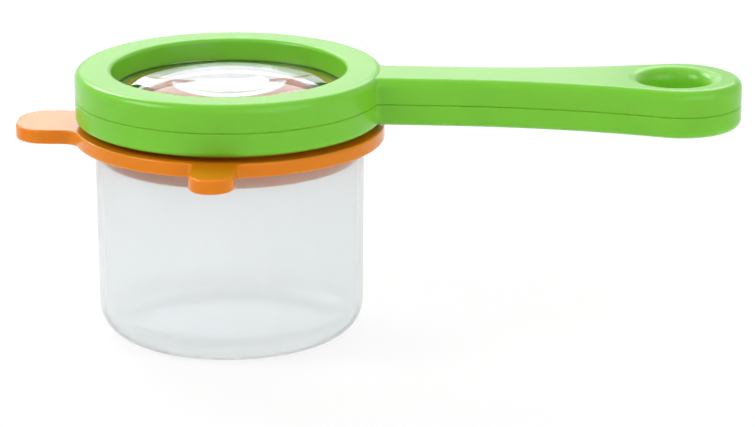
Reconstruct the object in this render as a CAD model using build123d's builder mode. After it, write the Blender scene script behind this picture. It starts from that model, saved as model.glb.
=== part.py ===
from build123d import *
import os

# Bug catcher jar, in millimetres: a milky cup, a push-in lid with finger tabs, and a hand
# magnifier that stands on the lid's collar. The origin is the middle of the cup's foot,
# +Z is up, and the magnifier's handle points along +X.

# Cup
jar_height = 60.8
jar_rim_radius = 39.5
jar_foot_radius = 38.9
jar_wall = 1.4
jar_floor = 1.8
jar_foot_fillet = 9.0
jar_rim_fillet = 0.5

# Magnifier housing: a round ring and a handle, split level into an upper and a lower shell
ring_width = 10.0  # from the lens's edge to the ring's outside
upper_ring_height = 8.2
lower_ring_height = 7.0
upper_edge_fillet = 2.4  # ring's outer edge, top
lower_edge_fillet = 1.6  # ring's outer edge, bottom
bore_edge_fillet = 1.2
bore_flare = 1.0  # the upper bore is this much wider at its mouth
handle_step = 0.55  # the handle's faces lie this far inside the ring's faces
handle_length = 104.2  # from the ring's outside to the tip
handle_neck_width = 18.4
handle_neck_length = 21.0  # straight stretch before the handle widens
handle_end_radius = 18.0
handle_edge_fillet = 2.5
handle_root_fillet = 2.5  # plan fillet where the neck meets the ring
handle_root_depth = 0.4  # how far that fillet is sunk into the ring
hang_hole_radius = 9.75
hang_hole_inset = 19.4  # hole's axis from the handle's tip
hang_hole_fillet = 3.9  # rounded lip, at most
hang_hole_lip_share = 0.9  # most of the rim's free width that the lip may take
hang_hole_wall = 3.0  # thicker than the shell, behind the rounded lip
shell_wall = 1.8
parting_groove = 0.3  # chamfer on both shells along their visible joint

# How the two shells locate on each other
tongue_thickness = 0.85
tongue_height = 1.2
tongue_clearance = 0.1
spigot_wall = 1.6  # upper shell's inner wall, which reaches past the joint
spigot_depth = 2.5
spigot_clearance = 0.3
pin_radius = 1.5
pin_length = 4.0
pin_clearance = 0.1
pin_boss_radius = 3.0

# Lens: convex on both sides, with a flat rim that the shells hold
lens_radius = 35.0
lens_flat = 6.0  # width of the flat rim round the domes
lens_crown_height = 4.8  # upper dome
lens_belly_depth = 9.5  # lower dome, which does most of the magnifying
lens_rim_thickness = 2.0
lens_clearance = 0.15
lens_ledge = 1.6  # width of the rim under the upper shell

# Lid
lid_margin = 0.5  # the lid stands out past the ring
lid_rim_clearance = 0.5  # least room between the lid's wall and the cup's rim
lid_turn = 1.5  # degrees that the lid is turned under the handle
lid_edge_height = 4.2
lid_wall = 2.0
lid_top_fillet = 0.6
lid_bottom_fillet = 0.6
seat_height = 1.6  # raised seat that leaves a shadow gap under the ring
seat_setback = 6.0  # seat's edge inside the ring's outside
collar_clearance = 0.3  # sideways between the collar and the lower shell
collar_wall = 1.8
collar_gap = 0.3  # between the collar's top and the lens
collar_chamfer = 0.6
lip_thickness = 1.8
lip_clearance = 0.3  # between the lip and the lens's dome
plug_depth = 7.4  # skirt that pushes into the cup's mouth
plug_wall = 1.5
plug_clearance = 0.35
plug_chamfer = 0.5
pull_tab_length = 17.1  # beyond the lid's rim
pull_tab_width = 23.4
pull_tab_corner = 9.0
pull_tab_fillet = 5.0  # where the tab meets the lid's rim
ear_length = 16.8
ear_width = 12.9
ear_fillet = 2.5

# Levels above the table
lid_underside = jar_height
lid_top = lid_underside + lid_wall
lid_bottom = lid_top - lid_edge_height
seat_top = lid_top + seat_height
parting = seat_top + lower_ring_height
collar_top = parting - collar_gap
lens_rim_top = parting + lens_rim_thickness

# Radii that follow from the fits
ring_radius = lens_radius + ring_width
lens_dome_radius = lens_radius - lens_flat
lid_radius = max(ring_radius + lid_margin, jar_rim_radius + lid_rim_clearance + lid_wall)
seat_radius = ring_radius - seat_setback
upper_bore = lens_radius - lens_ledge
spigot_bore = lens_radius + lens_clearance
spigot_radius = spigot_bore + spigot_wall
spigot_room = spigot_radius + spigot_clearance
lower_bore_wall = spigot_bore - spigot_clearance
lower_bore = lower_bore_wall - shell_wall
collar_radius = lower_bore - collar_clearance
collar_bore = collar_radius - collar_wall
lip_radius = lens_dome_radius + lip_clearance
plug_radius = jar_rim_radius - jar_wall - plug_clearance
plate_bore = min(collar_bore, plug_radius - plug_wall)
ring_pin_circle = (spigot_room + ring_radius - shell_wall) / 2

# Places along the handle, from the ring's axis
handle_tip = ring_radius + handle_length
handle_end_x = handle_tip - handle_end_radius
handle_flare_x = ring_radius + handle_neck_length
hang_hole_x = handle_tip - hang_hole_inset
hang_hole_rim = min(handle_end_radius, hang_hole_inset) - hang_hole_radius - handle_edge_fillet
hang_hole_edge = min(hang_hole_fillet, hang_hole_lip_share * hang_hole_rim)
handle_pin_x = (handle_flare_x, (handle_flare_x + hang_hole_x - hang_hole_radius) / 2)
pin_places = [(x, 0) for x in handle_pin_x]
pin_places += [(0, ring_pin_circle), (-ring_pin_circle, 0), (0, -ring_pin_circle)]


def nearest_vertices(sketch, places):
    """The sketch's corners that lie at the given places."""
    return [sketch.vertices().sort_by_distance(place)[0] for place in places]


def housing_plan(inset):
    """The magnifier's outline from above, drawn inwards by inset, with the ring filled in."""
    neck = handle_neck_width / 2
    flare_run = handle_end_x - handle_flare_x
    flare_radius = (flare_run**2 + neck**2 - handle_end_radius**2) / (2 * (handle_end_radius - neck))
    blend = (flare_radius + inset) / (flare_radius + handle_end_radius)
    blend_point = (handle_flare_x + flare_run * blend, (neck + flare_radius) * (1 - blend))
    root_radius = ring_radius - handle_root_depth - inset
    root_y = neck - inset
    root_x = (root_radius**2 - root_y**2) ** 0.5
    with BuildSketch() as plan:
        with BuildLine():
            side = Polyline((0, 0), (0, root_y), (handle_flare_x, root_y))
            flare = TangentArc(side @ 1, blend_point, tangent=(1, 0))
            TangentArc(flare @ 1, (handle_tip - inset, 0), tangent=flare % 1)
            mirror(about=Plane.XZ)
        make_face()
        Circle(root_radius)
        fillet(nearest_vertices(plan, [(root_x, root_y), (root_x, -root_y)]), handle_root_fillet + inset)
    return plan.sketch


def cavity_plan(inset, core_radius):
    """That outline less the ring's inner wall and the wall round the hanging hole."""
    with BuildSketch() as plan:
        add(housing_plan(inset))
        Circle(core_radius, mode=Mode.SUBTRACT)
        with Locations((hang_hole_x, 0)):
            Circle(hang_hole_radius + hang_hole_wall, mode=Mode.SUBTRACT)
    return plan.sketch


def wall_strip(outer_inset, inner_inset):
    """A strip that follows the housing's outer wall, between two insets."""
    with BuildSketch() as plan:
        add(housing_plan(outer_inset))
        add(housing_plan(inner_inset), mode=Mode.SUBTRACT)
    return plan.sketch


def housing_half(ring_height, edge_fillet, bore, bore_mouth, core_radius):
    """One hollow half of the housing, standing with its parting face on z = 0."""
    handle_height = ring_height - handle_step
    with BuildPart() as half:
        extrude(housing_plan(0), amount=handle_height)
        fillet(half.faces().sort_by(Axis.Z)[-1].edges(), handle_edge_fillet)
        chamfer(half.faces().sort_by(Axis.Z)[0].edges(), parting_groove)
        Cylinder(core_radius, 2 * ring_height, mode=Mode.SUBTRACT)
        with BuildSketch(Plane.XZ) as ring_section:
            with BuildLine():
                Polyline(
                    (bore, 0),
                    (ring_radius, 0),
                    (ring_radius, ring_height),
                    (bore_mouth, ring_height),
                    close=True,
                )
            make_face()
            fillet(nearest_vertices(ring_section, [(bore_mouth, ring_height)]), bore_edge_fillet)
            fillet(nearest_vertices(ring_section, [(ring_radius, ring_height)]), edge_fillet)
            chamfer(nearest_vertices(ring_section, [(ring_radius, 0)]), parting_groove)
        revolve(axis=Axis.Z)
        with Locations((hang_hole_x, 0)):
            Cylinder(hang_hole_radius, 2 * ring_height, mode=Mode.SUBTRACT)
        hole_top = (hang_hole_x, 0, handle_height)
        fillet(half.edges().filter_by(GeomType.CIRCLE).sort_by_distance(hole_top)[0], hang_hole_edge)
        extrude(cavity_plan(shell_wall, core_radius), amount=handle_height - shell_wall, mode=Mode.SUBTRACT)
    return half.part


def lid_plan(inset):
    """The lid's outline from above, drawn inwards by inset: a disc, a pull tab and two ears."""
    radius = lid_radius - inset
    pull_tip = lid_radius + pull_tab_length - inset
    pull_y = pull_tab_width / 2 - inset
    pull_x = (radius**2 - pull_y**2) ** 0.5
    ear_run = lid_radius + ear_length - ear_width / 2
    ear_x = ear_width / 2 - inset
    ear_y = (radius**2 - ear_x**2) ** 0.5
    with BuildSketch() as plan:
        Circle(radius)
        Rectangle(pull_tip, 2 * pull_y, align=(Align.MAX, Align.CENTER))
        SlotCenterToCenter(2 * ear_run, 2 * ear_x, rotation=90)
        fillet(nearest_vertices(plan, [(-pull_x, pull_y), (-pull_x, -pull_y)]), pull_tab_fillet + inset)
        fillet(nearest_vertices(plan, [(-pull_tip, pull_y), (-pull_tip, -pull_y)]), pull_tab_corner - inset)
        ear_corners = [(x, y) for x in (ear_x, -ear_x) for y in (ear_y, -ear_y)]
        fillet(nearest_vertices(plan, ear_corners), ear_fillet + inset)
    return plan.sketch


os.makedirs("parts", exist_ok=True)

# Cup: thin wall with a little draft, a rounded foot and a flat floor
with BuildPart() as jar:
    with BuildSketch(Plane.XZ) as jar_section:
        with BuildLine():
            Polyline(
                (0, 0),
                (jar_foot_radius, 0),
                (jar_rim_radius, jar_height),
                (jar_rim_radius - jar_wall, jar_height),
                (jar_foot_radius - jar_wall, jar_floor),
                (0, jar_floor),
                close=True,
            )
        make_face()
        fillet(nearest_vertices(jar_section, [(jar_foot_radius, 0)]), jar_foot_fillet)
        inner_foot = nearest_vertices(jar_section, [(jar_foot_radius - jar_wall, jar_floor)])
        fillet(inner_foot, jar_foot_fillet - jar_wall)
        fillet(jar_section.vertices().group_by(Axis.Y)[-1], jar_rim_fillet)
    revolve(axis=Axis.Z)
jar.part.label = "jar"
export_step(jar.part, "parts/jar.step")

# Lid: a hollow plate with tabs, a plug skirt for the cup below and a collar for the magnifier above
with BuildPart(Plane.XY.offset(lid_bottom).rotated((0, 0, lid_turn))) as lid_ring:
    add(lid_plan(0))
    extrude(amount=lid_edge_height)
    fillet(lid_ring.faces().sort_by(Axis.Z)[-1].edges(), lid_top_fillet)
    fillet(lid_ring.faces().sort_by(Axis.Z)[0].edges(), lid_bottom_fillet)
    add(lid_plan(lid_wall))
    extrude(amount=lid_edge_height - lid_wall, mode=Mode.SUBTRACT)
    Cylinder(plate_bore, 2 * lid_edge_height, mode=Mode.SUBTRACT)
    with BuildSketch(Plane.XZ) as round_walls:
        with BuildLine():
            Polyline(
                (collar_bore, lid_underside),
                (seat_radius, lid_underside),
                (seat_radius, seat_top),
                (collar_radius, seat_top),
                (collar_radius, collar_top),
                (lip_radius, collar_top),
                (lip_radius, collar_top - lip_thickness),
                (collar_bore, collar_top - lip_thickness),
                close=True,
            )
        make_face()
        chamfer(nearest_vertices(round_walls, [(collar_radius, collar_top)]), collar_chamfer)
        with Locations((plug_radius, lid_underside - plug_depth)):
            Rectangle(plug_wall, plug_depth + lid_wall, align=(Align.MAX, Align.MIN))
        chamfer(nearest_vertices(round_walls, [(plug_radius, lid_underside - plug_depth)]), plug_chamfer)
    revolve(axis=Axis.Z)
lid_ring.part.label = "lid_ring"
export_step(lid_ring.part, "parts/lid_ring.step")

# Lens
with BuildPart() as lens:
    with BuildSketch(Plane.XZ) as lens_section:
        with BuildLine():
            crown = TangentArc(
                (0, lens_rim_top + lens_crown_height), (lens_dome_radius, lens_rim_top), tangent=(1, 0)
            )
            rim = Polyline(
                crown @ 1, (lens_radius, lens_rim_top), (lens_radius, parting), (lens_dome_radius, parting)
            )
            belly = TangentArc((0, parting - lens_belly_depth), rim @ 1, tangent=(1, 0))
            Line(belly @ 0, crown @ 0)
        make_face()
    revolve(axis=Axis.Z)
lens.part.label = "lens"
export_step(lens.part, "parts/lens.step")

# Upper shell: its inner wall clamps the lens's rim and reaches round the lower shell's wall
base_up = (Align.CENTER, Align.CENTER, Align.MIN)
base_down = (Align.CENTER, Align.CENTER, Align.MAX)
upper_mouth = upper_bore + bore_flare
upper_half = housing_half(upper_ring_height, upper_edge_fillet, upper_bore, upper_mouth, spigot_radius)
with BuildPart(Plane.XY.offset(parting)) as upper_shell:
    add(upper_half)
    Cylinder(spigot_radius, spigot_depth, align=base_down)
    with Locations((0, 0, lens_rim_thickness)):
        Cylinder(spigot_bore, lens_rim_thickness + spigot_depth, align=base_down, mode=Mode.SUBTRACT)
    with Locations(*pin_places):
        Cylinder(pin_boss_radius, upper_ring_height - handle_step - shell_wall / 2, align=base_up)
        Cylinder(pin_radius, pin_length, align=base_down)
    add(wall_strip(shell_wall - tongue_thickness - tongue_clearance, shell_wall + tongue_clearance))
    extrude(amount=tongue_height + tongue_clearance, mode=Mode.SUBTRACT)
upper_shell.part.label = "upper_shell"
export_step(upper_shell.part, "parts/upper_shell.step")

# Lower shell: carries the lens on its inner wall and stands on the lid's seat
lower_half = housing_half(lower_ring_height, lower_edge_fillet, lower_bore, lower_bore, lower_bore_wall)
with BuildPart(Plane((0, 0, parting), x_dir=(1, 0, 0), z_dir=(0, 0, -1))) as lower_shell:
    add(lower_half)
    with Locations(*pin_places):
        Cylinder(pin_boss_radius, lower_ring_height - handle_step - shell_wall / 2, align=base_up)
        Cylinder(pin_radius + pin_clearance, pin_length + pin_clearance, align=base_up, mode=Mode.SUBTRACT)
    with BuildSketch() as spigot_slot:
        Circle(spigot_room)
        Circle(lower_bore_wall, mode=Mode.SUBTRACT)
    extrude(amount=spigot_depth + spigot_clearance, mode=Mode.SUBTRACT)
    add(wall_strip(shell_wall - tongue_thickness, shell_wall))
    extrude(amount=-tongue_height)
lower_shell.part.label = "lower_shell"
export_step(lower_shell.part, "parts/lower_shell.step")
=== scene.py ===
import math

import bpy
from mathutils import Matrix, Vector


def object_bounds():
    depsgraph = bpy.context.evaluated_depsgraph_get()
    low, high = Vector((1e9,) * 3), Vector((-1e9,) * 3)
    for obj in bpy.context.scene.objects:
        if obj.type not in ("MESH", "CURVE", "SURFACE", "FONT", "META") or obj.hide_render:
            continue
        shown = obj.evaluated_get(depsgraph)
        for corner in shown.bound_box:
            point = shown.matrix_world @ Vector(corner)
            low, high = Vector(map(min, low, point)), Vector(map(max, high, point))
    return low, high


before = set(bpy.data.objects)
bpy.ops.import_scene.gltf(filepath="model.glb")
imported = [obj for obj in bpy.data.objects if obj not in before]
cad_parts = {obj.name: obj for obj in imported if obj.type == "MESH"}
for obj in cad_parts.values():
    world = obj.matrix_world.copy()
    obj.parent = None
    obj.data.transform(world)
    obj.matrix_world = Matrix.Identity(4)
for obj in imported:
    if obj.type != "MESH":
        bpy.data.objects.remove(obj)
cad_low, cad_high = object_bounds()
middle = (Vector(cad_low) + Vector(cad_high)) / 2

# Camera: where it looks, how far off it stands and how long its lens is
CAMERA_TARGET = middle + Vector((0.0, 0.0033, -0.0049))
CAMERA_DISTANCE = 1.0058
CAMERA_AZIMUTH = math.radians(4.35)
CAMERA_ELEVATION = math.radians(16.6)
CAMERA_LENS_MM = 162.2
CAMERA_SENSOR_MM = 36.0

# Surroundings: how bright they light the object, and the white floor it stands on
WORLD_WHITE = (1.0, 1.0, 1.0, 1.0)
WORLD_LIGHT = 0.38
FLOOR_SIZE = 8.0
FLOOR_DROP = 0.0002
FLOOR_COLOUR = (0.92, 0.92, 0.92, 1.0)
FLOOR_ROUGHNESS = 0.9
FLOOR_WHITE_SHARE = 0.82
FLOOR_FADE_START = 0.5
FLOOR_FADE_END = 2.0

# Sight lines: straight, mirrored and through clear plastic
SIGHT_LINES = ("Is Camera Ray", "Is Glossy Ray", "Is Transmission Ray")

# Lamps: where each stands, how wide and high it is, and its power
LAMPS = {
    "key": {"place": (-1.05, -0.45, 0.95), "width": 0.7, "height": 0.7, "watts": 11.5},
    "left_back": {"place": (-0.72, 0.85, 0.98), "width": 0.5, "height": 0.5, "watts": 5.0},
    "top": {"place": (0.12, 0.10, 0.95), "width": 0.7, "height": 0.7, "watts": 0.8},
    "fill": {"place": (0.95, -0.95, 0.60), "width": 1.3, "height": 1.3, "watts": 10.0},
    "back_high": {"place": (-0.15, 1.06, 0.97), "width": 1.7, "height": 0.8, "watts": 9.5},
    "back_strip": {"place": (-0.258, 1.423, 0.453), "width": 0.75, "height": 0.11, "watts": 0.5},
    "right_back": {"place": (0.41, 1.065, 0.90), "width": 0.7, "height": 0.6, "watts": 1.5},
}

# Moulded plastics: colour, its shade in the clouds, how far light soaks in, roughness and gloss
GREEN = (0.175, 0.510, 0.028, 1.0)
GREEN_SHADE = (0.160, 0.480, 0.024, 1.0)
GREEN_SOAK = (0.25, 1.0, 0.1)
GREEN_ROUGHNESS = 0.22
GREEN_GLOSS = 0.3
ORANGE = (0.670, 0.212, 0.005, 1.0)
ORANGE_SHADE = (0.640, 0.195, 0.004, 1.0)
ORANGE_SOAK = (1.0, 0.25, 0.05)
ORANGE_ROUGHNESS = 0.11
ORANGE_GLOSS = 0.2
PLASTIC_IOR = 1.49
SOAK_SHARE = 0.6
SOAK_DEPTH = 0.003
ROUGHNESS_SPREAD = 1.08

# Unevenness of the mouldings: size of the spots and fineness within them
NOISE_LOW = 0.3
NOISE_HIGH = 0.7
CLOUD_SIZE = 0.02
CLOUD_DETAIL = 2.0
SHEEN_SIZE = 0.006
SHEEN_DETAIL = 4.0
GRAIN_SIZE = 0.00035
GRAIN_DETAIL = 3.0
GRAIN_HEIGHT = 0.000006

# Cup: share that is seen through, haze of that view and share of the milky veil
MILK = (0.945, 0.972, 0.982, 1.0)
MILK_IOR = 1.45
MILK_CLEAR_SHARE = 0.86
MILK_VEIL_SHARE = 0.16
HAZE_SIZE = 0.012
HAZE_DETAIL = 3.0
HAZE_LEAST = 0.05
HAZE_MOST = 0.08

# Lens
CLEAR = (0.98, 0.99, 1.0, 1.0)
LENS_ROUGHNESS = 0.015


def new_material(name):
    """A new material, its nodes and its main shader."""
    material = bpy.data.materials.new(name)
    material.use_nodes = True
    return material, material.node_tree, material.node_tree.nodes["Principled BSDF"]


def mapped(tree, value, from_low, from_high, to_low, to_high):
    """The value, taken from one run of numbers to another and held at its ends."""
    spread = tree.nodes.new("ShaderNodeMapRange")
    spread.inputs["From Min"].default_value = from_low
    spread.inputs["From Max"].default_value = from_high
    spread.inputs["To Min"].default_value = to_low
    spread.inputs["To Max"].default_value = to_high
    tree.links.new(value, spread.inputs["Value"])
    return spread.outputs["Result"]


def combined(tree, operation, first, second):
    """Two values put together."""
    node = tree.nodes.new("ShaderNodeMath")
    node.operation = operation
    tree.links.new(first, node.inputs[0])
    tree.links.new(second, node.inputs[1])
    return node.outputs["Value"]


def mix_as_surface(tree, first, second):
    """Shows a mix of two shaders, and gives the socket that takes the second one's share."""
    mix = tree.nodes.new("ShaderNodeMixShader")
    tree.links.new(first.outputs[0], mix.inputs[1])
    tree.links.new(second.outputs[0], mix.inputs[2])
    tree.links.new(mix.outputs["Shader"], tree.nodes["Material Output"].inputs["Surface"])
    return mix.inputs["Fac"]


def noise(tree, size, detail):
    """Noise whose spots are about size metres across, in the object's own frame."""
    place = tree.nodes.new("ShaderNodeTexCoord")
    texture = tree.nodes.new("ShaderNodeTexNoise")
    texture.inputs["Scale"].default_value = 1 / size
    texture.inputs["Detail"].default_value = detail
    tree.links.new(place.outputs["Object"], texture.inputs["Vector"])
    return texture.outputs["Fac"]


def spots(tree, size, detail, low, high):
    """Values from low to high in soft spots."""
    return mapped(tree, noise(tree, size, detail), NOISE_LOW, NOISE_HIGH, low, high)


def add_clouds(tree, shader, colour, shade):
    """Cloudy colour from the flow in the mould."""
    cloud = tree.nodes.new("ShaderNodeMix")
    cloud.data_type = "RGBA"
    cloud.inputs["A"].default_value = colour
    cloud.inputs["B"].default_value = shade
    tree.links.new(spots(tree, CLOUD_SIZE, CLOUD_DETAIL, 0.0, 1.0), cloud.inputs["Factor"])
    tree.links.new(cloud.outputs["Result"], shader.inputs["Base Color"])


def add_grain(tree, shader):
    """Fine relief from the mould's surface."""
    bump = tree.nodes.new("ShaderNodeBump")
    bump.inputs["Distance"].default_value = GRAIN_HEIGHT
    tree.links.new(noise(tree, GRAIN_SIZE, GRAIN_DETAIL), bump.inputs["Height"])
    tree.links.new(bump.outputs["Normal"], shader.inputs["Normal"])


def moulded_plastic(name, colour, shade, soak, roughness, gloss):
    """Satin moulded plastic with cloudy colour, uneven gloss and fine grain."""
    material, tree, shader = new_material(name)
    add_clouds(tree, shader, colour, shade)
    sheen = spots(tree, SHEEN_SIZE, SHEEN_DETAIL, roughness, roughness * ROUGHNESS_SPREAD)
    tree.links.new(sheen, shader.inputs["Roughness"])
    shader.inputs["IOR"].default_value = PLASTIC_IOR
    shader.inputs["Specular IOR Level"].default_value = gloss
    shader.inputs["Subsurface Weight"].default_value = SOAK_SHARE
    shader.inputs["Subsurface Radius"].default_value = soak
    shader.inputs["Subsurface Scale"].default_value = SOAK_DEPTH
    add_grain(tree, shader)
    return material


def green_plastic():
    """The magnifier's housing."""
    return moulded_plastic("housing_green", GREEN, GREEN_SHADE, GREEN_SOAK, GREEN_ROUGHNESS, GREEN_GLOSS)


def orange_plastic():
    """The lid."""
    return moulded_plastic("lid_orange", ORANGE, ORANGE_SHADE, ORANGE_SOAK, ORANGE_ROUGHNESS, ORANGE_GLOSS)


def milky_plastic():
    """The cup's wall: hazy see-through plastic with a milky veil that light soaks through."""
    material, tree, shader = new_material("cup_milky")
    shader.inputs["Base Color"].default_value = MILK
    shader.inputs["Transmission Weight"].default_value = MILK_CLEAR_SHARE
    shader.inputs["IOR"].default_value = MILK_IOR
    haze = spots(tree, HAZE_SIZE, HAZE_DETAIL, HAZE_LEAST, HAZE_MOST)
    tree.links.new(haze, shader.inputs["Roughness"])
    veil = tree.nodes.new("ShaderNodeBsdfTranslucent")
    veil.inputs["Color"].default_value = MILK
    mix_as_surface(tree, shader, veil).default_value = MILK_VEIL_SHARE
    return material


def clear_plastic():
    """The polished lens."""
    material, tree, shader = new_material("lens_clear")
    shader.inputs["Base Color"].default_value = CLEAR
    shader.inputs["Transmission Weight"].default_value = 1.0
    shader.inputs["Roughness"].default_value = LENS_ROUGHNESS
    shader.inputs["IOR"].default_value = PLASTIC_IOR
    return material


def seen(tree):
    """1 along a sight line, 0 for the light that falls."""
    ray = tree.nodes.new("ShaderNodeLightPath")
    first, *others = SIGHT_LINES
    total = ray.outputs[first]
    for kind in others:
        total = combined(tree, "MAXIMUM", total, ray.outputs[kind])
    return total


def whiter_away(tree):
    """The floor's share of plain white, which grows to full white away from the object."""
    place = tree.nodes.new("ShaderNodeTexCoord")
    distance = tree.nodes.new("ShaderNodeVectorMath")
    distance.operation = "LENGTH"
    tree.links.new(place.outputs["Object"], distance.inputs["Vector"])
    away = distance.outputs["Value"]
    return mapped(tree, away, FLOOR_FADE_START, FLOOR_FADE_END, FLOOR_WHITE_SHARE, 1.0)


def white_floor():
    """White paper that takes a soft shadow."""
    material, tree, shader = new_material("floor_white")
    shader.inputs["Base Color"].default_value = FLOOR_COLOUR
    shader.inputs["Roughness"].default_value = FLOOR_ROUGHNESS
    shader.inputs["Specular IOR Level"].default_value = 0.0
    glow = tree.nodes.new("ShaderNodeEmission")
    share = combined(tree, "MULTIPLY", seen(tree), whiter_away(tree))
    tree.links.new(share, mix_as_surface(tree, shader, glow))
    return material


def add_floor():
    """A square of white paper just under the cup's foot."""
    half = FLOOR_SIZE / 2
    corners = [(x, y, -FLOOR_DROP) for x, y in ((-half, -half), (half, -half), (half, half), (-half, half))]
    mesh = bpy.data.meshes.new("floor")
    mesh.from_pydata(corners, [], [(0, 1, 2, 3)])
    mesh.materials.append(white_floor())
    floor = bpy.data.objects.new("floor", mesh)
    bpy.context.scene.collection.objects.link(floor)


def add_world():
    """Even white surroundings: full white where they are seen, dimmer as light."""
    world = bpy.data.worlds.new("surroundings")
    world.use_nodes = True
    bpy.context.scene.world = world
    tree = world.node_tree
    sky = tree.nodes["Background"]
    sky.inputs["Color"].default_value = WORLD_WHITE
    strength = mapped(tree, seen(tree), 0.0, 1.0, WORLD_LIGHT, 1.0)
    tree.links.new(strength, sky.inputs["Strength"])


def add_softbox(name, place, width, height, watts):
    """A soft light, a flat rectangle that looks at the middle of the object."""
    light = bpy.data.lights.new(name, "AREA")
    light.shape = "RECTANGLE"
    light.size = width
    light.size_y = height
    light.energy = watts
    lamp = bpy.data.objects.new(name, light)
    lamp.location = place
    lamp.rotation_mode = "QUATERNION"
    lamp.rotation_quaternion = (CAMERA_TARGET - Vector(place)).to_track_quat("-Z", "Y")
    bpy.context.scene.collection.objects.link(lamp)


def add_camera():
    """The camera in front of the object, a little above it."""
    data = bpy.data.cameras.new("camera")
    data.lens = CAMERA_LENS_MM
    data.sensor_width = CAMERA_SENSOR_MM
    camera = bpy.data.objects.new("camera", data)
    level = math.cos(CAMERA_ELEVATION)
    back = Vector((
        math.sin(CAMERA_AZIMUTH) * level,
        -math.cos(CAMERA_AZIMUTH) * level,
        math.sin(CAMERA_ELEVATION),
    ))
    camera.location = CAMERA_TARGET + CAMERA_DISTANCE * back
    camera.rotation_mode = "QUATERNION"
    camera.rotation_quaternion = (-back).to_track_quat("-Z", "Y")
    bpy.context.scene.collection.objects.link(camera)
    bpy.context.scene.camera = camera


def dress(material, *nodes):
    """Gives the named pieces their material."""
    for node in nodes:
        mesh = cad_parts[node].data
        mesh.materials.clear()
        mesh.materials.append(material)


dress(green_plastic(), "upper_shell", "lower_shell")
dress(orange_plastic(), "lid_ring")
dress(milky_plastic(), "jar")
dress(clear_plastic(), "lens")

bpy.context.scene.view_settings.view_transform = "Standard"
add_world()
add_floor()
for name, lamp in LAMPS.items():
    add_softbox(name, **lamp)
add_camera()
